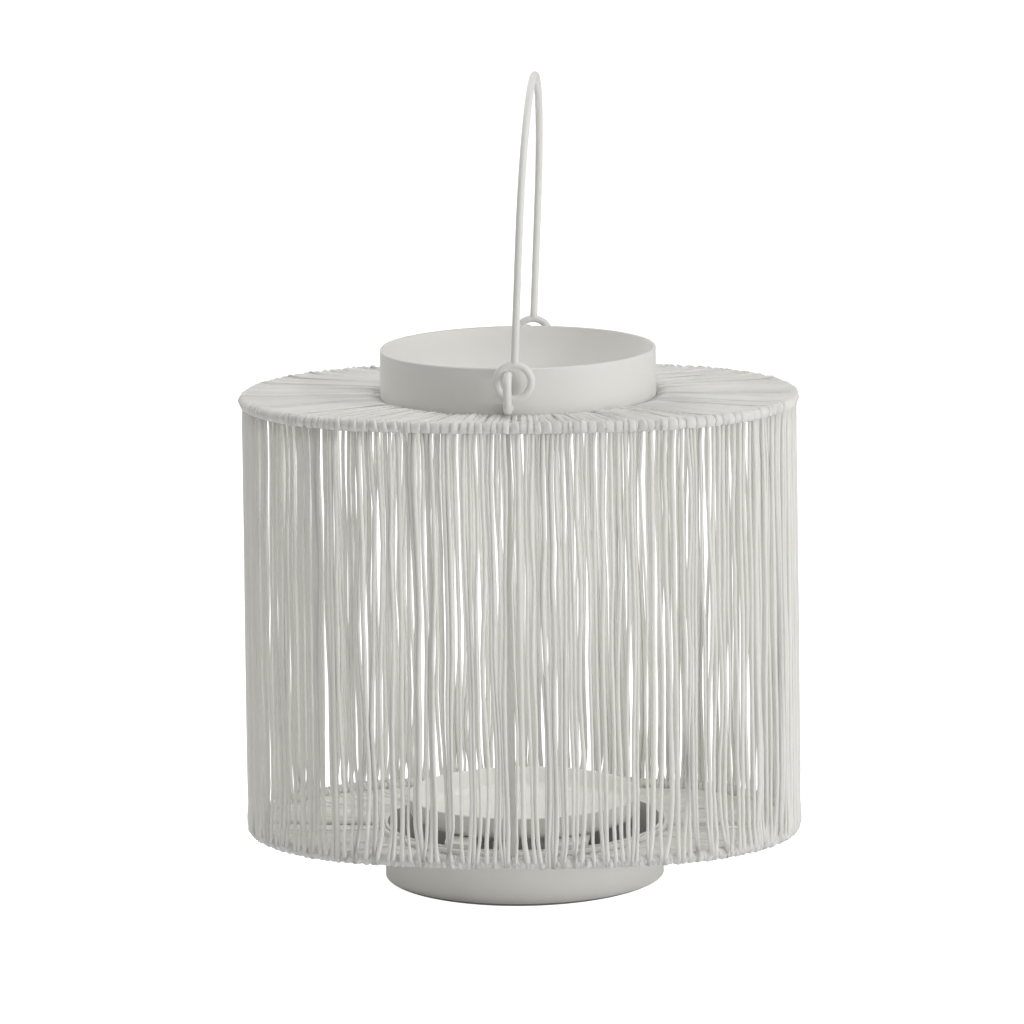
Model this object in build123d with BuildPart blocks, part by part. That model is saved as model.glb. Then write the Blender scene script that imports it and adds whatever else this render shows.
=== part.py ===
"""Hanging lantern: an oval wire drum strung all round with painted cord.

A round sheet-metal collar and foot are held in the drum's frame, a bail handle hangs in two
wire ears on the collar, and a shallow candle dish stands on two bars across the foot.
Millimetres, +Z up, origin at the centre of the foot's bottom edge, front ear on -Y.
"""

import os
from math import atan2, cos, degrees, pi, radians, sin, tan

from build123d import *

os.makedirs("parts", exist_ok=True)

# Drum frame: an oval of four tangent arcs, wide along X
drum_w = 300.0
drum_depth = 202.0
drum_end_ease = 7.0
top_ring_z = 259.0
bottom_ring_z = 27.7
ring_wire_d = 4.0
upright_d = 4.0
spoke_d = 3.0
hoop_wire_d = 3.0
weld_gap = 0.15

# Cord: flattened strands strung between the rings and in to the hoops, each for one or two real cords
cord_w = 3.2
cord_gap = 1.7
cord_inner_gap = 0.4
cord_end_gap = 0.4
wrap_t = 2.0
wrap_depth = 3.0
wrap_fit = 0.15
wrap_split = 0.2
cord_sink = 0.05
cord_tuck = 1.0
cord_seat_gap = 0.1
side_sectors = 4
end_sectors = 3
sector_gap = 0.2

# Sheet-metal collar and foot
collar_d = 147.0
collar_t = 1.5
collar_rise = 23.4
collar_lap = 4.0
collar_rim_edge = 0.5
foot_d = 150.0
foot_t = 1.5
foot_lap = 1.0

# Ears and bail handle
ear_wire_d = 4.5
ear_reach = 12.0
ear_corner_r = 5.0
ear_drop = 0.5
ear_foot_gap = 0.3
bail_wire_d = 4.0
eye_mean_d = 18.2
eye_clear = 0.3
eye_hang_deg = 42.0
eye_wall_gap = 2.9
bail_rise = 72.6
bail_lean_deg = 2.8

# Candle dish and the bars under it
bar_w = 16.0
bar_t = 2.0
bar_spread = 60.0
dish_rim_d = 126.0
dish_h = 12.5
dish_draft = 2.0
dish_t = 1.2
dish_corner_r = 5.0
dish_rim_edge = 0.4

# Radii and heights that follow from those sizes
wrap_in = ring_wire_d / 2 + wrap_fit
wrap_out = wrap_in + wrap_t
ring_half_w = drum_w / 2 - wrap_out
ring_half_d = drum_depth / 2 - wrap_out
drum_end_r = drum_depth / 2 - drum_end_ease
ring_end_r = drum_end_r - wrap_out
cord_t = wrap_t - 2 * cord_sink
collar_r = collar_d / 2
foot_r = foot_d / 2
collar_hoop_r = collar_r + weld_gap + hoop_wire_d / 2
base_hoop_r = foot_r + weld_gap + hoop_wire_d / 2
upright_inset = ring_wire_d / 2 + weld_gap + upright_d / 2
spoke_inset = upright_inset + upright_d / 2 + weld_gap

panel_level = wrap_in + cord_sink
top_cord_z = top_ring_z + panel_level
bottom_cord_z = bottom_ring_z - panel_level
hoop_drop = cord_seat_gap + hoop_wire_d / 2
spoke_drop = cord_seat_gap + spoke_d / 2
collar_hoop_z = top_cord_z - hoop_drop
base_hoop_z = bottom_cord_z + hoop_drop
collar_bottom_z = collar_hoop_z - hoop_wire_d / 2 - collar_lap / 2
foot_top_z = base_hoop_z + hoop_wire_d / 2 + foot_lap / 2

strand_out = panel_level + cord_t / 2
collar_top_z = top_cord_z + cord_t + collar_rise

ear_top_z = collar_top_z - ear_drop - ear_wire_d / 2
ear_low_z = top_cord_z + cord_t + ear_foot_gap + ear_wire_d / 2
eye_r = eye_mean_d / 2
eye_offset = eye_r - bail_wire_d / 2 - ear_wire_d / 2 - eye_clear
eye_x = eye_offset * sin(radians(eye_hang_deg))
eye_z = ear_top_z - eye_offset * cos(radians(eye_hang_deg))
bail_y = collar_r + eye_wall_gap + bail_wire_d / 2
bar_z = foot_top_z
dish_z = bar_z + bar_t


# The oval's end arcs stand on X and its side arcs on Y, and they meet in line
end_shift = ring_half_w - ring_end_r
side_rest = ring_half_d - ring_end_r
side_shift = (end_shift**2 - side_rest**2) / (2 * side_rest)
ring_side_r = ring_half_d + side_shift
side_half_deg = degrees(atan2(end_shift, side_shift))
end_half_deg = 90 - side_half_deg

# Each arc: centre, radius, middle direction and half angle in degrees, sectors
ring_arcs = [
    ((end_shift, 0), ring_end_r, 0, end_half_deg, end_sectors),
    ((0, -side_shift), ring_side_r, 90, side_half_deg, side_sectors),
    ((-end_shift, 0), ring_end_r, 180, end_half_deg, end_sectors),
    ((0, side_shift), ring_side_r, 270, side_half_deg, side_sectors),
]


def wrap_quarter(radius, ring_z, side):
    """Corners of an eight-sided wrap's outer quarter, above (side 1) or below (side -1) a ring."""
    flat = tan(radians(22.5))
    start = wrap_split / 2
    corners = [
        (wrap_in, start),
        (wrap_out, start),
        (wrap_out, wrap_out * flat),
        (wrap_out * flat, wrap_out),
        (0, wrap_out),
        (0, wrap_in),
        (wrap_in * flat, wrap_in),
        (wrap_in, wrap_in * flat),
    ]
    return [(radius + x, ring_z + side * z) for x, z in corners]


def oval_sectors():
    """Centre, radius, start, arc and strand directions, in degrees, of each sector of the oval."""
    found = []
    for centre, radius, middle, half, count in ring_arcs:
        arc = 2 * half / count
        strands = round(radians(arc) * (radius + strand_out) / (cord_w + cord_gap))
        spare = degrees(sector_gap / (radius + wrap_out))
        for part in range(count):
            start = middle - half + arc * part
            turns = [start + arc * (strand + 0.5) / strands for strand in range(strands)]
            found.append((centre, radius, start + spare / 2, arc - spare, turns))
    return found


def upright_plane(centre, turn):
    """Plane through an arc's upright axis, with its own X axis pointing out at the given turn."""
    angle = radians(turn)
    return Plane(
        origin=(centre[0], centre[1], 0),
        x_dir=(cos(angle), sin(angle), 0),
        z_dir=(sin(angle), -cos(angle), 0),
    )


def on_arc(centre, radius, turn):
    """Point of an arc in plan."""
    return (centre[0] + radius * cos(radians(turn)), centre[1] + radius * sin(radians(turn)))


def ring_wire(ring_z):
    """Closed oval wire made of four tangent arcs."""
    with BuildPart() as ring:
        with BuildLine(Plane.XY.offset(ring_z)) as ring_line:
            for centre, radius, middle, half, _ in ring_arcs:
                CenterArc(centre, radius, middle - half, 2 * half)
        with BuildSketch(Plane(origin=ring_line.line @ 0, z_dir=ring_line.line % 0)):
            Circle(ring_wire_d / 2)
        sweep()
    return ring.part


def side_sector(centre, radius, start, arc, turns):
    """One sector of the cord wall: upright strands between the wraps round the two rings."""
    with BuildPart() as sector:
        with BuildSketch(upright_plane(centre, start)):
            for low_z in (top_ring_z - wrap_depth, bottom_ring_z + wrap_split / 2):
                with Locations((radius + wrap_in, low_z)):
                    Rectangle(wrap_t, wrap_depth - wrap_split / 2, align=Align.MIN)
        revolve(axis=Axis((centre[0], centre[1], 0), (0, 0, 1)), revolution_arc=arc)
        spots = [Location((*on_arc(centre, radius + strand_out, turn), 0), (0, 0, turn)) for turn in turns]
        with BuildSketch(Plane.XY.offset(bottom_ring_z + cord_tuck)):
            with Locations(*spots):
                Rectangle(cord_t, cord_w)
        extrude(amount=top_ring_z - bottom_ring_z - 2 * cord_tuck)
    return sector.part


def panel_sector(sector, ring_z, side, inner_r, level_z):
    """One sector of a flat panel: strands tucked into the wrap round a ring, in to a round hoop."""
    centre, radius, start, arc, turns = sector
    outer = [on_arc(centre, radius + cord_tuck, turn) for turn in turns]
    bearings = [atan2(y, x) for x, y in outer]
    reaches = [(x * x + y * y) ** 0.5 for x, y in outer]
    closest = min((abs(b - a) % (2 * pi) for a, b in zip(bearings, bearings[1:])), default=1.0)
    inner_w = min(closest * inner_r - cord_inner_gap, cord_w)
    with BuildPart() as panel:
        with BuildSketch(upright_plane(centre, start)):
            Polygon(*wrap_quarter(radius, ring_z, side), align=None)
        revolve(axis=Axis((centre[0], centre[1], 0), (0, 0, 1)), revolution_arc=arc)
        with BuildSketch(Plane.XY.offset(level_z)):
            for bearing, reach in zip(bearings, reaches):
                with Locations(Location((0, 0, 0), (0, 0, degrees(bearing)))):
                    Polygon(
                        (inner_r, -inner_w / 2),
                        (reach, -cord_w / 2),
                        (reach, cord_w / 2),
                        (inner_r, inner_w / 2),
                        align=None,
                    )
        extrude(amount=cord_t)
    return panel.part


# Collar: a rolled and welded strip with a plain, softened rim
with BuildPart() as top_collar:
    with BuildSketch(Plane.XY.offset(collar_bottom_z)):
        Circle(collar_r)
        Circle(collar_r - collar_t, mode=Mode.SUBTRACT)
    extrude(amount=collar_top_z - collar_bottom_z)
    chamfer(top_collar.edges().group_by(Axis.Z)[-1], min(collar_rim_edge, 0.4 * collar_t))
top_collar.part.label = "top_collar"
export_step(top_collar.part, "parts/top_collar.step")

# Hoop welded round the collar, under the inner ends of the top cords
with BuildPart() as collar_hoop:
    with Locations((0, 0, collar_hoop_z)):
        Torus(collar_hoop_r, hoop_wire_d / 2)
collar_hoop.part.label = "collar_hoop"
export_step(collar_hoop.part, "parts/collar_hoop.step")

# Ears: D-shaped wire loops on the collar's front and rear
with BuildPart() as front_ear:
    with BuildLine(Plane.YZ) as ear_line:
        FilletPolyline(
            (-collar_r - weld_gap, ear_top_z),
            (-collar_r - ear_reach, ear_top_z),
            (-collar_r - ear_reach, ear_low_z),
            (-collar_r - weld_gap, ear_low_z),
            radius=ear_corner_r,
        )
    with BuildSketch(Plane(origin=ear_line.line @ 0, z_dir=ear_line.line % 0)):
        Circle(ear_wire_d / 2)
    sweep()
front_ear.part.label = "front_ear"
export_step(front_ear.part, "parts/front_ear.step")

with BuildPart() as rear_ear:
    mirror(front_ear.part, about=Plane.XZ)
rear_ear.part.label = "rear_ear"
export_step(rear_ear.part, "parts/rear_ear.step")

# Bail: one bent wire with a round eye at each foot, leaning a little to +X
bail_lean = radians(bail_lean_deg)
bail_plane = Plane(
    origin=(eye_x, 0, eye_z),
    x_dir=(0, 1, 0),
    z_dir=(cos(bail_lean), 0, -sin(bail_lean)),
)
with BuildPart() as bail_handle:
    with BuildLine(bail_plane) as bail_line:
        Line((-bail_y, eye_r), (-bail_y, bail_rise))
        ThreePointArc((-bail_y, bail_rise), (0, bail_rise + bail_y), (bail_y, bail_rise))
        Line((bail_y, bail_rise), (bail_y, eye_r))
    with BuildSketch(Plane(origin=bail_line.line @ 0, z_dir=bail_line.line % 0)):
        Circle(bail_wire_d / 2)
    sweep()
    with Locations(
        Location((eye_x, -bail_y, eye_z), (90, 0, 0)),
        Location((eye_x, bail_y, eye_z), (90, 0, 0)),
    ):
        Torus(eye_r, bail_wire_d / 2)
bail_handle.part.label = "bail_handle"
export_step(bail_handle.part, "parts/bail_handle.step")

# Drum rings: oval wires that the cord is wrapped round
top_ring_wire = ring_wire(top_ring_z)
with BuildPart() as top_ring:
    add(top_ring_wire)
top_ring.part.label = "top_ring"
export_step(top_ring.part, "parts/top_ring.step")

bottom_ring_wire = ring_wire(bottom_ring_z)
with BuildPart() as bottom_ring:
    add(bottom_ring_wire)
bottom_ring.part.label = "bottom_ring"
export_step(bottom_ring.part, "parts/bottom_ring.step")

# Uprights welded inside the rings, and the spokes that carry the collar and the foot
upright_low_z = bottom_cord_z + cord_seat_gap
upright_top_z = top_cord_z - cord_seat_gap
arms = {"right": (1, 0), "rear": (0, 1), "left": (-1, 0), "front": (0, -1)}
for arm, outward in arms.items():
    ring_reach = ring_half_w if outward[0] else ring_half_d
    aim = Vector(outward[0], outward[1], 0)

    with BuildPart() as upright:
        with BuildSketch(Plane(origin=aim * (ring_reach - upright_inset) + Vector(0, 0, upright_low_z))):
            Circle(upright_d / 2)
        extrude(amount=upright_top_z - upright_low_z)
    upright.part.label = f"{arm}_upright"
    export_step(upright.part, f"parts/{arm}_upright.step")

    top_spoke_r = collar_hoop_r + hoop_wire_d / 2 + weld_gap
    with BuildPart() as top_spoke:
        with BuildSketch(Plane(origin=aim * top_spoke_r + Vector(0, 0, top_cord_z - spoke_drop), z_dir=aim)):
            Circle(spoke_d / 2)
        extrude(amount=ring_reach - spoke_inset - top_spoke_r)
    top_spoke.part.label = f"top_{arm}_spoke"
    export_step(top_spoke.part, f"parts/top_{arm}_spoke.step")

    base_spoke_r = base_hoop_r + hoop_wire_d / 2 + weld_gap
    with BuildPart() as base_spoke:
        with BuildSketch(Plane(origin=aim * base_spoke_r + Vector(0, 0, bottom_cord_z + spoke_drop), z_dir=aim)):
            Circle(spoke_d / 2)
        extrude(amount=ring_reach - spoke_inset - base_spoke_r)
    base_spoke.part.label = f"base_{arm}_spoke"
    export_step(base_spoke.part, f"parts/base_{arm}_spoke.step")

# Foot: a rolled strip like the collar, with a hoop round it over the bottom cords
with BuildPart() as foot_ring:
    with BuildSketch():
        Circle(foot_r)
        Circle(foot_r - foot_t, mode=Mode.SUBTRACT)
    extrude(amount=foot_top_z)
foot_ring.part.label = "foot_ring"
export_step(foot_ring.part, "parts/foot_ring.step")

with BuildPart() as base_hoop:
    with Locations((0, 0, base_hoop_z)):
        Torus(base_hoop_r, hoop_wire_d / 2)
base_hoop.part.label = "base_hoop"
export_step(base_hoop.part, "parts/base_hoop.step")

# Two flat bars across the foot, trimmed to its outline
with BuildPart() as left_dish_bar:
    with BuildSketch(Plane.XY.offset(bar_z)):
        with Locations((-bar_spread / 2, 0)):
            Rectangle(bar_w, foot_d)
        Circle(foot_r, mode=Mode.INTERSECT)
    extrude(amount=bar_t)
left_dish_bar.part.label = "left_dish_bar"
export_step(left_dish_bar.part, "parts/left_dish_bar.step")

with BuildPart() as right_dish_bar:
    mirror(left_dish_bar.part, about=Plane.YZ)
right_dish_bar.part.label = "right_dish_bar"
export_step(right_dish_bar.part, "parts/right_dish_bar.step")

# Candle dish: a shallow pressed cup with flared sides
with BuildPart() as candle_dish:
    with BuildSketch(Plane.XZ):
        Polygon(
            (0, dish_z),
            (dish_rim_d / 2 - dish_draft, dish_z),
            (dish_rim_d / 2, dish_z + dish_h),
            (0, dish_z + dish_h),
            align=None,
        )
    revolve(axis=Axis.Z)
    fillet(candle_dish.edges().group_by(Axis.Z)[0], dish_corner_r)
    offset(amount=-dish_t, openings=candle_dish.faces().sort_by(Axis.Z)[-1])
    chamfer(candle_dish.edges().group_by(Axis.Z)[-1], min(dish_rim_edge, 0.4 * dish_t))
candle_dish.part.label = "candle_dish"
export_step(candle_dish.part, "parts/candle_dish.step")

# Cord: the drum's wall and its two flat panels, each in sectors round the oval
drum_sectors = oval_sectors()
wall_parts = [side_sector(*sector) for sector in drum_sectors]
with BuildPart() as side_winding:
    add(wall_parts)
side_winding.part.label = "side_winding"
export_step(side_winding.part, "parts/side_winding.step")

top_parts = [
    panel_sector(sector, top_ring_z, 1, collar_r + cord_end_gap, top_cord_z) for sector in drum_sectors
]
with BuildPart() as top_winding:
    add(top_parts)
top_winding.part.label = "top_winding"
export_step(top_winding.part, "parts/top_winding.step")

bottom_parts = [
    panel_sector(sector, bottom_ring_z, -1, foot_r + cord_end_gap, bottom_cord_z - cord_t)
    for sector in drum_sectors
]
with BuildPart() as bottom_winding:
    add(bottom_parts)
bottom_winding.part.label = "bottom_winding"
export_step(bottom_winding.part, "parts/bottom_winding.step")

print("strands in each face", sum(len(sector[4]) for sector in drum_sectors))
print("oval arcs", ring_side_r, side_half_deg, ring_end_r, end_half_deg, end_shift, side_shift)
print("eye centre", eye_x, bail_y, eye_z, "ear wire", ear_top_z, ear_low_z, "rim", collar_top_z)
print("dish floor", dish_z + dish_t, "dish rim", dish_z + dish_h, "collar foot", collar_bottom_z)
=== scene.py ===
"""Looks for the hanging lantern: an oval wire drum strung with cord, all of it painted off-white."""

from math import atan2, copysign, cos, pi, radians, sin
from random import Random

import bmesh
import bpy
from mathutils import Matrix, Vector, noise


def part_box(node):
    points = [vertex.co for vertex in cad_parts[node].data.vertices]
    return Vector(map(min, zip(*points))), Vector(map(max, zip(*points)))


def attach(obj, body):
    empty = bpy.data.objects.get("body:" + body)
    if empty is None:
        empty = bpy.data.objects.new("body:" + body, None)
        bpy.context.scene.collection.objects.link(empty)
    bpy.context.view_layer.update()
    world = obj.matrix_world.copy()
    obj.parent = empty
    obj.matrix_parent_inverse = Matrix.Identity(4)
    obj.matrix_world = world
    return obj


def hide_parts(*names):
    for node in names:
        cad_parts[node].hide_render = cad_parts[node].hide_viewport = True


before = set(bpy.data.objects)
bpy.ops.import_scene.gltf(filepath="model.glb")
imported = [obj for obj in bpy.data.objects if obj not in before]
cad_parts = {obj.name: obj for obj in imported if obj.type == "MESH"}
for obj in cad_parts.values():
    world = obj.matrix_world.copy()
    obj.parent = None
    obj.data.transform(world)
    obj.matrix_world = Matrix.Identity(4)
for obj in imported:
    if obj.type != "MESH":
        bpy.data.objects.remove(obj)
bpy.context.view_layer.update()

# The ring's tighter bends, at the drum's left and right ends, in metres
drum_end_bend = 0.08985

# Wall cords, in metres: how far out they stand, and how much they wander along the ring
wall_cords = 282
cord_r = 0.00104
wall_out = 0.0007
wall_waver = 0.0007
wall_belly = 0.0014
wall_shake = 0.00022
close_drift = 0.0024
wide_drift = 0.0025
wall_lean = 0.0022
wall_flare = 0.0040

# Lengths over which the drift, lean and flare change, in metres: along the ring, and up for the drift
close_span = (0.0062, 0.036)
wide_span = (0.026, 0.110)
lean_span = 0.045
flare_span = 0.030

# A wall cord's start under the top band, in metres: out from the ring's wire, and down from it
tuck_out = 0.0009
tuck_drop = 0.0012
hang_out = 0.0002
hang_drop = 0.0050

# Shares: uneven steps between wall cords, wider steps at the front, and stout cords among the rest
wall_uneven = 0.5
front_ease = 0.17
stout_share = 0.06
stout_swell = 1.36
stout_loose = 0.25

# How soon a wall cord drifts freely below its top end and above its foot
top_slack = 9
foot_slack = 7

# Points down a wall cord, as shares of the way from the top ring to the bottom ring
wall_marks = (0.05, 0.12, 0.20, 0.29, 0.38, 0.47, 0.56, 0.65, 0.74, 0.83, 0.91)

# A wall cord's foot over the bottom ring: share of its flare, height, inset and swell at each point
foot_marks = (
    (0.15, 0.0125, 0.0008, 1.00),
    (0.42, 0.0080, 0.0003, 1.00),
    (0.78, 0.0046, 0.0000, 1.12),
    (1.00, 0.0016, 0.0000, 1.30),
    (1.10, -0.0008, 0.0003, 1.38),
    (1.14, -0.0024, 0.0012, 1.25),
)
foot_out = 0.0038
foot_cord_r = 0.0017

# Panel cords, in metres, and how unevenly and how closely they lie on each ring
panel_cords = 190
base_cords = 205
panel_cord_r = 0.00145
panel_end_gap = 0.0006
panel_rise = 0.0021
top_band_r = 0.0037
bottom_band_r = 0.0031
narrowest_turn = 0.0016
broadest_turn = 0.0030
flat_share = 0.42
top_uneven = 0.42
top_closeness = 0.57
base_uneven = 0.20
base_closeness = 0.72

# A panel cord's slant on its ring, in metres, and how far its curve draws in from its points
turn_slant = 0.0006
slant_span = 0.05
turn_shrink = 0.925

# A panel cord's turn round its ring: share of its slant, degrees up from straight out, and reach
turn_marks = (
    (1.0, -112, 0.90),
    (1.0, -72, 1.00),
    (0.6, -32, 1.00),
    (0.2, 8, 1.00),
    (-0.2, 48, 1.00),
    (-0.4, 86, 1.04),
)

# Cord wound round the rings, in metres
wrap_cord_r = 0.00100
wrap_pitch = 0.0023
wrap_reach = 0.00235

# Painted contact shadow on the floor: how far past the foot its dark line ends, in metres
contact_shadow_side = 0.0008
contact_shadow_front = 0.0055

# Welds at the ears, in metres
ear_wire_r = 0.00225
weld_r = 0.0027
weld_rise = 0.0013

# Camera, found from the drum's, collar's and foot's outlines in the photograph
camera_azimuth = radians(4.0)
camera_elevation = radians(10.46)
camera_roll = radians(-0.8)
camera_distance = 3.5
camera_aim = (-0.00432, 0.1971)
camera_lens = 230.2

dice = Random(41)


def middle(low, high):
    """Half way between two numbers."""
    return (low + high) / 2


# Places read from the frame
ring_low, ring_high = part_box("top_ring")
ring_wire_r = (ring_high.z - ring_low.z) / 2
top_z = middle(ring_low.z, ring_high.z)
base_low, base_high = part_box("bottom_ring")
base_z = middle(base_low.z, base_high.z)
drum_half_w = ring_high.x - ring_wire_r
drum_half_d = ring_high.y - ring_wire_r
collar_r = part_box("top_collar")[1].x
foot_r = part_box("foot_ring")[1].x
hoop_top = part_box("collar_hoop")[1].z
base_hoop_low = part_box("base_hoop")[0].z

# The oval ring: two end bends on X and two side bends on Y that meet in line
end_x = drum_half_w - drum_end_bend
bend_step = drum_half_d - drum_end_bend
side_y = (end_x**2 - bend_step**2) / (2 * bend_step)
side_bend = drum_half_d + side_y
side_half = atan2(end_x, side_y)
end_half = pi / 2 - side_half
ring_bends = [
    (Vector((end_x, 0)), drum_end_bend, -end_half, 2 * end_half),
    (Vector((0, -side_y)), side_bend, pi / 2 - side_half, 2 * side_half),
    (Vector((-end_x, 0)), drum_end_bend, pi - end_half, 2 * end_half),
    (Vector((0, side_y)), side_bend, 1.5 * pi - side_half, 2 * side_half),
]
ring_length = sum(radius * turn for _, radius, _, turn in ring_bends)


def on_ring(along):
    """Point in plan and outward direction at a length along the ring's wire."""
    left = along % ring_length
    for centre, radius, start, turn in ring_bends:
        if left <= radius * turn:
            break
        left -= radius * turn
    angle = start + left / radius
    outward = Vector((cos(angle), sin(angle)))
    return centre + radius * outward, outward


def beside_ring(along, out, z):
    """Point at a length along a ring, set out from its wire, at a height."""
    point, outward = on_ring(along)
    return Vector((*(point + outward * out), z))


def towards_axis(along, share, inner_r, swing, z):
    """Point on a panel, a share of the way from the ring in to a round of radius inner_r."""
    point, _ = on_ring(along)
    bearing = atan2(point.y, point.x) + swing
    inner = Vector((inner_r * cos(bearing), inner_r * sin(bearing)))
    return Vector((*point.lerp(inner, share), z))


def drift(along, z, seed):
    """Smooth sideways drift of the wall's cords, so that neighbours close up and part again."""
    close = noise.noise(Vector((along / close_span[0], z / close_span[1], seed)))
    wide = noise.noise(Vector((along / wide_span[0], z / wide_span[1], seed + 8.3)))
    return close_drift * close + wide_drift * wide


def round_wire(along, angle, reach, ring_z):
    """Point at an angle round a ring's wire: 0 is out, a quarter turn is up."""
    return beside_ring(along, reach * cos(angle), ring_z + reach * sin(angle))


def uneven_marks(count, spread):
    """Places along the ring with uneven steps."""
    steps = [dice.uniform(1 - spread, 1 + spread) for _ in range(count)]
    scale = ring_length / sum(steps)
    marks = []
    place = 0.0
    for step in steps:
        place += step * scale
        marks.append(place)
    return marks


def wall_route(mark, radius, out, lean, flare, loose):
    """One upright cord: out from under the top band, down the wall, and spread over the bottom ring."""
    points = [
        beside_ring(mark, tuck_out, top_z - tuck_drop),
        beside_ring(mark, out + hang_out, top_z - hang_drop),
    ]
    for share in wall_marks:
        z = top_z + (base_z - top_z) * share
        free = loose * min(1, top_slack * share, foot_slack * (1 - share))
        along = mark + lean * (2 * share - 1) + free * drift(mark, z, 1.7) + loose * dice.gauss(0, wall_shake)
        points.append(beside_ring(along, out + wall_belly * share, z))
    radii = [radius * (1 + loose * dice.uniform(-0.10, 0.10)) for _ in points]
    foot = mark + lean
    for swerve, height, inset, swell in foot_marks:
        thick = min(radius * swell, foot_cord_r)
        points.append(beside_ring(foot + swerve * flare, foot_out - thick - inset, base_z + height))
        radii.append(thick)
    return points, radii


def wall_routes():
    """The wall's cords: wider apart at the front, and here and there a stout one that hangs straight."""
    routes = []
    front_mark = ring_length - side_bend * side_half
    for place in uneven_marks(wall_cords, wall_uneven):
        round_ring = 2 * pi * (place - front_mark) / ring_length
        mark = place + front_ease * sin(round_ring) * ring_length / (2 * pi)
        stout = dice.random() < stout_share
        radius = cord_r * (stout_swell if stout else min(max(dice.gauss(1, 0.15), 0.68), 1.3))
        out = wall_out + dice.uniform(-wall_waver, wall_waver)
        lean = wall_lean * noise.noise(Vector((mark / lean_span, 0, 2.2))) + dice.gauss(0, 0.0006)
        flare = wall_flare * noise.noise(Vector((mark / flare_span, 0, 5.1))) + dice.gauss(0, 0.0011)
        routes.append(wall_route(mark, radius, out, lean, flare, stout_loose if stout else 1))
    return routes


def panel_routes(count, ring_z, up, band_r, inner_r, hoop_z, spread, closeness):
    """Cords of a flat panel: round the outside of a ring as a broad flat turn, then in to the hoop."""
    routes = []
    marks = uneven_marks(count, spread)
    earlier = [marks[-1] - ring_length] + marks
    later = marks[1:] + [marks[0] + ring_length]
    for before, mark, after in zip(earlier, marks, later):
        radius = panel_cord_r * min(max(dice.gauss(1, 0.1), 0.8), 1.25)
        room = middle(mark - before, after - mark)
        broad = min(max(closeness * room * dice.uniform(0.95, 1.06), narrowest_turn), broadest_turn)
        reach = (band_r - flat_share * broad + dice.gauss(0, 0.00008)) / turn_shrink
        level = ring_z + up * (panel_rise + dice.gauss(0, 0.00015))
        end_z = hoop_z + up * (flat_share * radius + dice.uniform(0, 0.0004))
        swing = dice.gauss(0, 0.010)
        slant = dice.gauss(0, turn_slant) + turn_slant * noise.noise(Vector((mark / slant_span, 0, 7.7)))
        sag = [up * abs(dice.gauss(0, 0.0002)) for _ in range(3)]
        lift = up * (dice.uniform(0.0006, 0.0013) if dice.random() < 0.06 else 0)
        points = [
            round_wire(mark + share * slant, up * radians(turn), reach * grow, ring_z)
            for share, turn, grow in turn_marks
        ]
        points += [
            beside_ring(mark - 0.5 * slant, -0.0030, level),
            towards_axis(mark, 0.16, inner_r, 0.3 * swing, level),
            towards_axis(mark, 0.42, inner_r, 0.7 * swing, middle(level, end_z) - sag[0] + lift),
            towards_axis(mark, 0.72, inner_r, swing, end_z - sag[1] + lift),
            towards_axis(mark, 0.93, inner_r, swing, end_z - sag[2]),
            towards_axis(mark, 0.98, inner_r, swing, end_z - up * 0.0004),
            towards_axis(mark, 1.0, inner_r, swing, end_z - up * 0.0016),
        ]
        radii = [broad] * 5 + [middle(broad, radius)] + [radius * dice.uniform(0.95, 1.05) for _ in range(7)]
        routes.append((points, radii))
    return routes


def wrap_route(ring_z, hand):
    """One cord wound round and round a ring under the broad turns."""
    corners = 6
    shrink = (2 + cos(2 * pi / corners)) / 3
    turns = round(ring_length / wrap_pitch)
    points = []
    radii = []
    for turn in range(turns):
        reach = wrap_reach * dice.uniform(0.97, 1.05) / shrink
        shift = dice.gauss(0, 0.1)
        thick = wrap_cord_r * dice.uniform(0.9, 1.12)
        for corner in range(corners):
            part = corner / corners
            along = (turn + part + shift) * ring_length / turns
            points.append(round_wire(hand * along, 2 * pi * part, reach, ring_z))
            radii.append(thick)
    return [(points, radii)]


def flat_section():
    """Section of a cord that is pressed flat: broad across, thin out from the ring."""
    curve = bpy.data.curves.new("flat_section", "CURVE")
    curve.dimensions = "2D"
    spline = curve.splines.new("POLY")
    sides = 12
    spline.points.add(sides - 1)
    for number, point in enumerate(spline.points):
        angle = 2 * pi * (number + 0.5) / sides
        across = copysign(abs(cos(angle)) ** 0.6, cos(angle))
        out = copysign(abs(sin(angle)) ** 0.6, sin(angle))
        point.co = (across, flat_share * out, 0, 1)
    spline.use_cyclic_u = True
    section = bpy.data.objects.new("flat_section", curve)
    bpy.context.scene.collection.objects.link(section)
    return section


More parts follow.
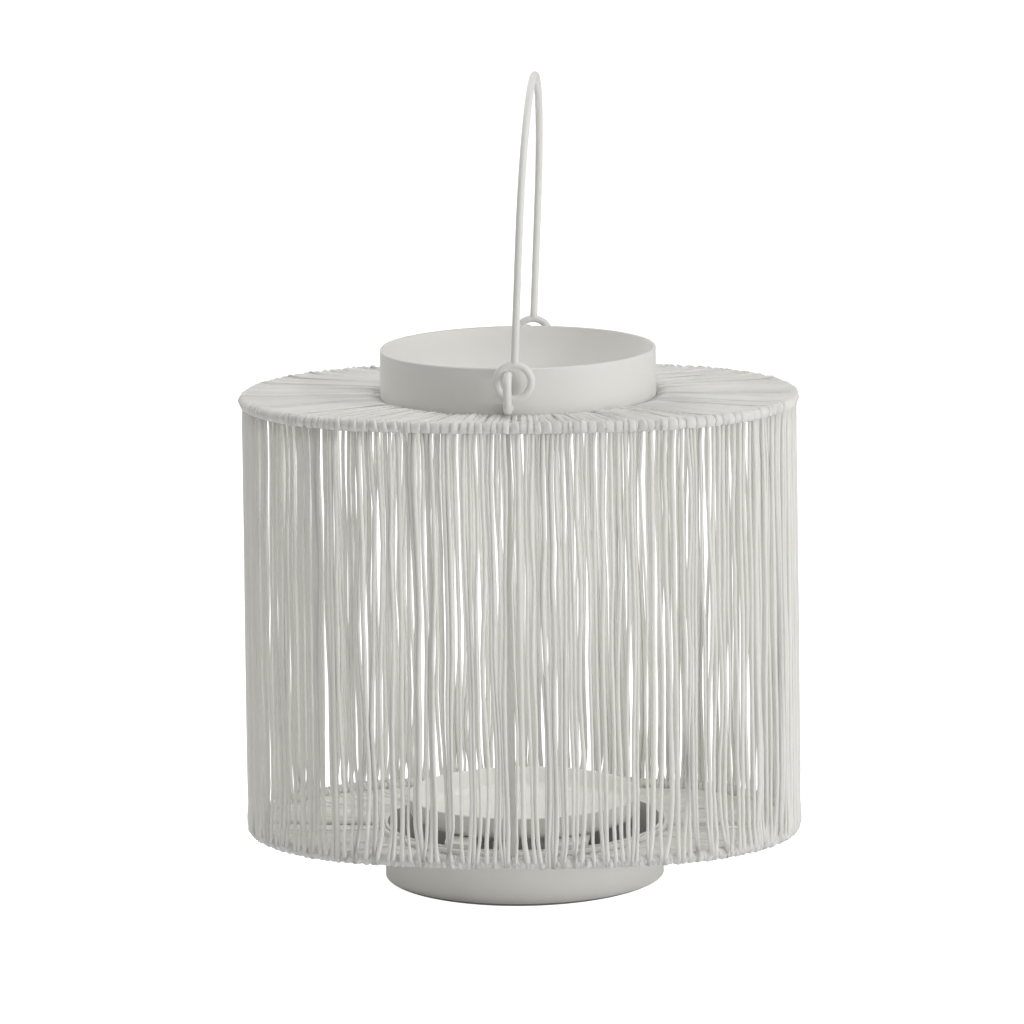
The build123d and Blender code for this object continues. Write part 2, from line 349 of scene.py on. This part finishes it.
def strung_cord(name, routes, closed=False, section=None):
    """One piece made of cords that follow smooth lines, with a shade for each cord and lengths in its UV."""
    curve = bpy.data.curves.new(name, "CURVE")
    curve.dimensions = "3D"
    curve.bevel_depth = 1.0
    curve.bevel_resolution = 2
    if section:
        curve.bevel_mode = "OBJECT"
        curve.bevel_object = section
    curve.resolution_u = 1
    for points, radii in routes:
        spline = curve.splines.new("NURBS")
        spline.points.add(len(points) - 1)
        for control, place, radius in zip(spline.points, points, radii):
            control.co = (*place, 1)
            control.radius = radius
        spline.order_u = 4
        spline.use_endpoint_u = not closed
        spline.use_cyclic_u = closed
    holder = bpy.data.objects.new(name, curve)
    bpy.context.scene.collection.objects.link(holder)
    ready = holder.evaluated_get(bpy.context.evaluated_depsgraph_get())
    mesh = bpy.data.meshes.new_from_object(ready)
    mesh.name = name
    bpy.data.objects.remove(holder)
    bpy.data.curves.remove(curve)

    share = len(mesh.vertices) // len(routes)
    shades = [dice.random() for _ in routes]
    shade = mesh.attributes.new("shade", "FLOAT", "POINT")
    for vertex in mesh.vertices:
        shade.data[vertex.index].value = shades[min(vertex.index // share, len(routes) - 1)]
    lengths = [sum((b - a).length for a, b in zip(points, points[1:])) for points, _ in routes]
    uv = mesh.uv_layers[0]
    for loop in mesh.loops:
        uv.data[loop.index].uv.x *= lengths[min(loop.vertex_index // share, len(routes) - 1)]

    shape = bmesh.new()
    shape.from_mesh(mesh)
    ends = [edge for edge in shape.edges if edge.is_boundary]
    bmesh.ops.holes_fill(shape, edges=ends, sides=12)
    bmesh.ops.recalc_face_normals(shape, faces=shape.faces)
    shape.to_mesh(mesh)
    shape.free()
    mesh.shade_smooth()
    piece = bpy.data.objects.new(name, mesh)
    bpy.context.scene.collection.objects.link(piece)
    return piece


def add_node(tree, kind, place, **values):
    """New shader node at a place in the tree, with plain values on its inputs."""
    node = tree.nodes.new(kind)
    node.location = place
    for socket, value in values.items():
        node.inputs[socket.replace("_", " ")].default_value = value
    return node


def sprayed_paint_group():
    """Thin sprayed paint: faint clouds in the colour, a fine dry grain, and a little more or less sheen."""
    group = bpy.data.node_groups.new("sprayed_paint", "ShaderNodeTree")
    face = group.interface
    face.new_socket("Place", in_out="INPUT", socket_type="NodeSocketVector")
    face.new_socket("Light", in_out="INPUT", socket_type="NodeSocketColor")
    face.new_socket("Dark", in_out="INPUT", socket_type="NodeSocketColor")
    face.new_socket("Cloud Scale", in_out="INPUT", socket_type="NodeSocketFloat")
    face.new_socket("Grain Scale", in_out="INPUT", socket_type="NodeSocketFloat")
    face.new_socket("Color", in_out="OUTPUT", socket_type="NodeSocketColor")
    face.new_socket("Roughness", in_out="OUTPUT", socket_type="NodeSocketFloat")
    face.new_socket("Grain", in_out="OUTPUT", socket_type="NodeSocketFloat")
    given = add_node(group, "NodeGroupInput", (-700, 0))
    clouds = add_node(group, "ShaderNodeTexNoise", (-450, 150), Detail=4.0, Roughness=0.6)
    grain = add_node(group, "ShaderNodeTexNoise", (-450, -150), Detail=3.0, Roughness=0.65)
    blend = add_node(group, "ShaderNodeMix", (-200, 200))
    blend.data_type = "RGBA"
    sheen = add_node(group, "ShaderNodeMapRange", (-200, -50))
    sheen.inputs["From Min"].default_value = 0.3
    sheen.inputs["From Max"].default_value = 0.7
    sheen.inputs["To Min"].default_value = 0.52
    sheen.inputs["To Max"].default_value = 0.66
    made = add_node(group, "NodeGroupOutput", (100, 0))
    link = group.links.new
    link(given.outputs["Place"], clouds.inputs["Vector"])
    link(given.outputs["Place"], grain.inputs["Vector"])
    link(given.outputs["Cloud Scale"], clouds.inputs["Scale"])
    link(given.outputs["Grain Scale"], grain.inputs["Scale"])
    link(clouds.outputs["Fac"], blend.inputs["Factor"])
    link(given.outputs["Dark"], blend.inputs["A"])
    link(given.outputs["Light"], blend.inputs["B"])
    link(clouds.outputs["Fac"], sheen.inputs["Value"])
    link(blend.outputs["Result"], made.inputs["Color"])
    link(sheen.outputs["Result"], made.inputs["Roughness"])
    link(grain.outputs["Fac"], made.inputs["Grain"])
    return group


sprayed_paint = sprayed_paint_group()


def painted_metal():
    """Matt off-white powder coat on sheet and wire."""
    material = bpy.data.materials.new("powder_coat")
    material.use_nodes = True
    tree = material.node_tree
    shader = tree.nodes["Principled BSDF"]
    place = add_node(tree, "ShaderNodeTexCoord", (-900, 0))
    film = add_node(tree, "ShaderNodeGroup", (-600, 0))
    film.node_tree = sprayed_paint
    film.inputs["Light"].default_value = (0.885, 0.883, 0.855, 1)
    film.inputs["Dark"].default_value = (0.865, 0.862, 0.832, 1)
    film.inputs["Cloud Scale"].default_value = 38.0
    film.inputs["Grain Scale"].default_value = 1500.0
    bump = add_node(tree, "ShaderNodeBump", (-300, -250), Strength=0.12, Distance=0.0004)
    shader.inputs["Specular IOR Level"].default_value = 0.4
    link = tree.links.new
    link(place.outputs["Object"], film.inputs["Place"])
    link(film.outputs["Color"], shader.inputs["Base Color"])
    link(film.outputs["Roughness"], shader.inputs["Roughness"])
    link(film.outputs["Grain"], bump.inputs["Height"])
    link(bump.outputs["Normal"], shader.inputs["Normal"])
    return material


def painted_cord():
    """Paper cord under thin paint: fibres along each cord, and cords that differ a little in shade."""
    material = bpy.data.materials.new("painted_paper_cord")
    material.use_nodes = True
    tree = material.node_tree
    shader = tree.nodes["Principled BSDF"]
    place = add_node(tree, "ShaderNodeTexCoord", (-1500, 300))
    film = add_node(tree, "ShaderNodeGroup", (-900, 300))
    film.node_tree = sprayed_paint
    film.inputs["Light"].default_value = (0.915, 0.911, 0.875, 1)
    film.inputs["Dark"].default_value = (0.885, 0.879, 0.838, 1)
    film.inputs["Cloud Scale"].default_value = 55.0
    film.inputs["Grain Scale"].default_value = 900.0
    shade = add_node(tree, "ShaderNodeAttribute", (-1500, -100))
    shade.attribute_name = "shade"
    split = add_node(tree, "ShaderNodeSeparateXYZ", (-1300, 0))
    spread = add_node(tree, "ShaderNodeCombineXYZ", (-950, -50))
    along = add_node(tree, "ShaderNodeMath", (-1130, 60))
    along.operation = "MULTIPLY"
    along.inputs[1].default_value = 60.0
    across = add_node(tree, "ShaderNodeMath", (-1130, -80))
    across.operation = "MULTIPLY"
    across.inputs[1].default_value = 7.0
    apart = add_node(tree, "ShaderNodeMath", (-1130, -220))
    apart.operation = "MULTIPLY"
    apart.inputs[1].default_value = 57.0
    fibre = add_node(tree, "ShaderNodeTexNoise", (-750, -80), Scale=1.0, Detail=3.0, Roughness=0.55)
    tint = add_node(tree, "ShaderNodeMapRange", (-750, -330))
    tint.inputs["To Min"].default_value = 0.95
    tint.inputs["To Max"].default_value = 1.02
    streak = add_node(tree, "ShaderNodeMapRange", (-550, -80))
    streak.inputs["From Min"].default_value = 0.3
    streak.inputs["From Max"].default_value = 0.7
    streak.inputs["To Min"].default_value = 0.96
    streak.inputs["To Max"].default_value = 1.02
    both = add_node(tree, "ShaderNodeMath", (-380, -200))
    both.operation = "MULTIPLY"
    toned = add_node(tree, "ShaderNodeVectorMath", (-220, 200))
    toned.operation = "SCALE"
    bump = add_node(tree, "ShaderNodeBump", (-220, -350), Strength=0.45, Distance=0.0005)
    shader.inputs["Specular IOR Level"].default_value = 0.3
    shader.inputs["Subsurface Weight"].default_value = 0.5
    shader.inputs["Subsurface Radius"].default_value = (1.0, 0.97, 0.9)
    shader.inputs["Subsurface Scale"].default_value = 0.0022
    link = tree.links.new
    link(place.outputs["Object"], film.inputs["Place"])
    link(place.outputs["UV"], split.inputs["Vector"])
    link(split.outputs["X"], along.inputs[0])
    link(split.outputs["Y"], across.inputs[0])
    link(shade.outputs["Fac"], apart.inputs[0])
    link(along.outputs["Value"], spread.inputs["X"])
    link(across.outputs["Value"], spread.inputs["Y"])
    link(apart.outputs["Value"], spread.inputs["Z"])
    link(spread.outputs["Vector"], fibre.inputs["Vector"])
    link(fibre.outputs["Fac"], streak.inputs["Value"])
    link(shade.outputs["Fac"], tint.inputs["Value"])
    link(tint.outputs["Result"], both.inputs[0])
    link(streak.outputs["Result"], both.inputs[1])
    link(film.outputs["Color"], toned.inputs["Vector"])
    link(both.outputs["Value"], toned.inputs["Scale"])
    link(toned.outputs["Vector"], shader.inputs["Base Color"])
    link(film.outputs["Roughness"], shader.inputs["Roughness"])
    link(fibre.outputs["Fac"], bump.inputs["Height"])
    link(bump.outputs["Normal"], shader.inputs["Normal"])
    return material


powder_coat = painted_metal()
paper_cord = painted_cord()


def ear_welds():
    """Low beads of weld under the paint, where the two ears' wires meet the collar."""
    shape = bmesh.new()
    for ear, side in (("front_ear", -1), ("rear_ear", 1)):
        low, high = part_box(ear)
        ear_x = middle(low.x, high.x)
        for z in (low.z + ear_wire_r, high.z - ear_wire_r):
            seat = Matrix.Translation((ear_x, side * collar_r, z))
            wide = weld_r * dice.uniform(0.9, 1.1)
            tall = weld_r * dice.uniform(0.85, 1.05)
            bead = Matrix.Diagonal((wide, weld_rise, tall, 1))
            bmesh.ops.create_icosphere(shape, subdivisions=3, radius=1, matrix=seat @ bead)
    mesh = bpy.data.meshes.new("ear_welds")
    shape.to_mesh(mesh)
    shape.free()
    mesh.shade_smooth()
    mesh.materials.append(powder_coat)
    piece = bpy.data.objects.new("ear_welds", mesh)
    bpy.context.scene.collection.objects.link(piece)
    return piece


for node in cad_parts.values():
    node.data.materials.clear()
    node.data.materials.append(powder_coat)

wall = strung_cord("wall_cord", wall_routes())
pressed = flat_section()
top_panel = strung_cord(
    "top_panel_cord",
    panel_routes(
        panel_cords, top_z, 1, top_band_r, collar_r + panel_end_gap, hoop_top,
        top_uneven, top_closeness,
    ),
    section=pressed,
)
bottom_panel = strung_cord(
    "bottom_panel_cord",
    panel_routes(
        base_cords, base_z, -1, bottom_band_r, foot_r + panel_end_gap, base_hoop_low,
        base_uneven, base_closeness,
    ),
    section=pressed,
)
bpy.data.curves.remove(pressed.data)
top_wrap = strung_cord("top_ring_wrap", wrap_route(top_z, 1), closed=True)
bottom_wrap = strung_cord("bottom_ring_wrap", wrap_route(base_z, -1), closed=True)
welds = ear_welds()
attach(welds, "lantern")

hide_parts("side_winding")
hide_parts("top_winding")
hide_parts("bottom_winding")
for piece in (wall, top_panel, bottom_panel, top_wrap, bottom_wrap):
    piece.data.materials.append(paper_cord)
    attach(piece, "lantern")


def pale_floor():
    """Plain white table under the lantern, with a painted contact shadow: a dark line where the foot meets
    it, and painted shade under the foot, where the table's glow is cut out.
    """
    shape = bmesh.new()
    bmesh.ops.create_grid(shape, x_segments=1, y_segments=1, size=6)
    mesh = bpy.data.meshes.new("floor")
    shape.to_mesh(mesh)
    shape.free()
    floor = bpy.data.objects.new("floor", mesh)
    bpy.context.scene.collection.objects.link(floor)
    material = bpy.data.materials.new("floor_white_painted_shadow")
    material.use_nodes = True
    tree = material.node_tree
    shader = tree.nodes["Principled BSDF"]
    shader.inputs["Roughness"].default_value = 0.8
    shader.inputs["Emission Strength"].default_value = 1.0
    place = add_node(tree, "ShaderNodeTexCoord", (-1300, -200))
    oval = add_node(tree, "ShaderNodeVectorMath", (-1100, -200))
    oval.operation = "DIVIDE"
    oval.inputs[1].default_value = (foot_r + contact_shadow_side, foot_r + contact_shadow_front, 1)
    flat = add_node(tree, "ShaderNodeVectorMath", (-900, -200))
    flat.operation = "LENGTH"
    # Painted shadow: the floor's glow fades to nothing inside the oval round the foot, so the floor under the
    # lantern stays dark
    clear = add_node(tree, "ShaderNodeMapRange", (-700, -200))
    clear.interpolation_type = "SMOOTHSTEP"
    clear.inputs["From Min"].default_value = 0.97
    clear.inputs["From Max"].default_value = 1.0
    path = add_node(tree, "ShaderNodeLightPath", (-900, 100))
    shine = add_node(tree, "ShaderNodeMapRange", (-700, 100))
    shine.inputs["To Min"].default_value = 0.13
    glow = add_node(tree, "ShaderNodeMath", (-450, -100))
    glow.operation = "MULTIPLY"
    # Painted contact shadow: the floor's colour is grey inside the foot, dark in a thin ring round its edge,
    # and white beyond
    painted_contact_shadow = add_node(tree, "ShaderNodeValToRGB", (-450, 200))
    tones = painted_contact_shadow.color_ramp.elements
    tones[0].position = 0.88
    tones[0].color = (0.60, 0.60, 0.58, 1)
    tones[1].position = 1.0
    tones[1].color = (0.86, 0.86, 0.85, 1)
    for position in (0.94, 0.97):
        tones.new(position).color = (0.20, 0.20, 0.19, 1)
    link = tree.links.new
    link(flat.outputs["Value"], painted_contact_shadow.inputs["Fac"])
    link(painted_contact_shadow.outputs["Color"], shader.inputs["Base Color"])
    link(place.outputs["Object"], oval.inputs[0])
    link(oval.outputs["Vector"], flat.inputs[0])
    link(flat.outputs["Value"], clear.inputs["Value"])
    link(clear.outputs["Result"], glow.inputs[0])
    link(path.outputs["Is Camera Ray"], shine.inputs["Value"])
    link(shine.outputs["Result"], glow.inputs[1])
    link(glow.outputs["Value"], shader.inputs["Emission Color"])
    mesh.materials.append(material)


def soft_light(name, place, aim, size, watts):
    """Square studio light pointed at the lantern."""
    data = bpy.data.lights.new(name, "AREA")
    data.shape = "SQUARE"
    data.size = size
    data.energy = watts
    light = bpy.data.objects.new(name, data)
    light.location = place
    light.rotation_euler = (Vector(aim) - Vector(place)).to_track_quat("-Z", "Y").to_euler()
    bpy.context.scene.collection.objects.link(light)


def inside_light(watts):
    """Dim round light in the middle of the drum, so that its inside reads as light as its outside."""
    data = bpy.data.lights.new("inside_light", "POINT")
    data.energy = watts
    data.shadow_soft_size = 0.03
    light = bpy.data.objects.new("inside_light", data)
    light.location = (0, 0, middle(base_z, top_z) + 0.016)
    bpy.context.scene.collection.objects.link(light)


def white_surround():
    """White studio all round: the camera sees plain white, and the lantern gets a dimmer fill."""
    world = bpy.data.worlds.new("studio")
    bpy.context.scene.world = world
    world.use_nodes = True
    tree = world.node_tree
    tree.nodes.clear()
    seen = add_node(tree, "ShaderNodeBackground", (0, 150), Color=(1, 1, 1, 1), Strength=1.0)
    fill = add_node(tree, "ShaderNodeBackground", (0, -50), Color=(1, 0.99, 0.972, 1), Strength=0.27)
    path = add_node(tree, "ShaderNodeLightPath", (0, 450))
    mix = add_node(tree, "ShaderNodeMixShader", (250, 100))
    out = add_node(tree, "ShaderNodeOutputWorld", (450, 100))
    link = tree.links.new
    link(path.outputs["Is Camera Ray"], mix.inputs["Fac"])
    link(fill.outputs["Background"], mix.inputs[1])
    link(seen.outputs["Background"], mix.inputs[2])
    link(mix.outputs["Shader"], out.inputs["Surface"])


def photo_camera():
    """Camera at the photograph's place, for a square picture."""
    data = bpy.data.cameras.new("camera")
    data.lens = camera_lens
    data.sensor_width = 36
    camera = bpy.data.objects.new("camera", data)
    backward = Vector((
        sin(camera_azimuth) * cos(camera_elevation),
        -cos(camera_azimuth) * cos(camera_elevation),
        sin(camera_elevation),
    ))
    aim = Vector((camera_aim[0] * cos(camera_azimuth), camera_aim[0] * sin(camera_azimuth), camera_aim[1]))
    right = Vector((0, 0, 1)).cross(backward).normalized()
    up = backward.cross(right)
    level = Matrix((right, up, backward)).transposed()
    turned = level @ Matrix.Rotation(camera_roll, 3, "Z")
    camera.matrix_world = Matrix.Translation(aim + backward * camera_distance) @ turned.to_4x4()
    bpy.context.scene.collection.objects.link(camera)
    bpy.context.scene.camera = camera


pale_floor()
white_surround()
soft_light("key_light", place=(2.08, -1.00, 1.38), aim=(0, 0, 0.16), size=0.32, watts=12.5)
soft_light("low_light", place=(1.76, -0.88, 0.24), aim=(0.05, 0, 0.06), size=0.4, watts=6.8)
soft_light("top_light", place=(0.10, -0.22, 1.15), aim=(0, 0, 0.26), size=0.5, watts=2.2)
soft_light("back_light", place=(-1.4, 1.6, 1.6), aim=(0, 0, 0.2), size=1.4, watts=24)
inside_light(watts=0.125)
photo_camera()
bpy.context.scene.view_settings.view_transform = "Standard"
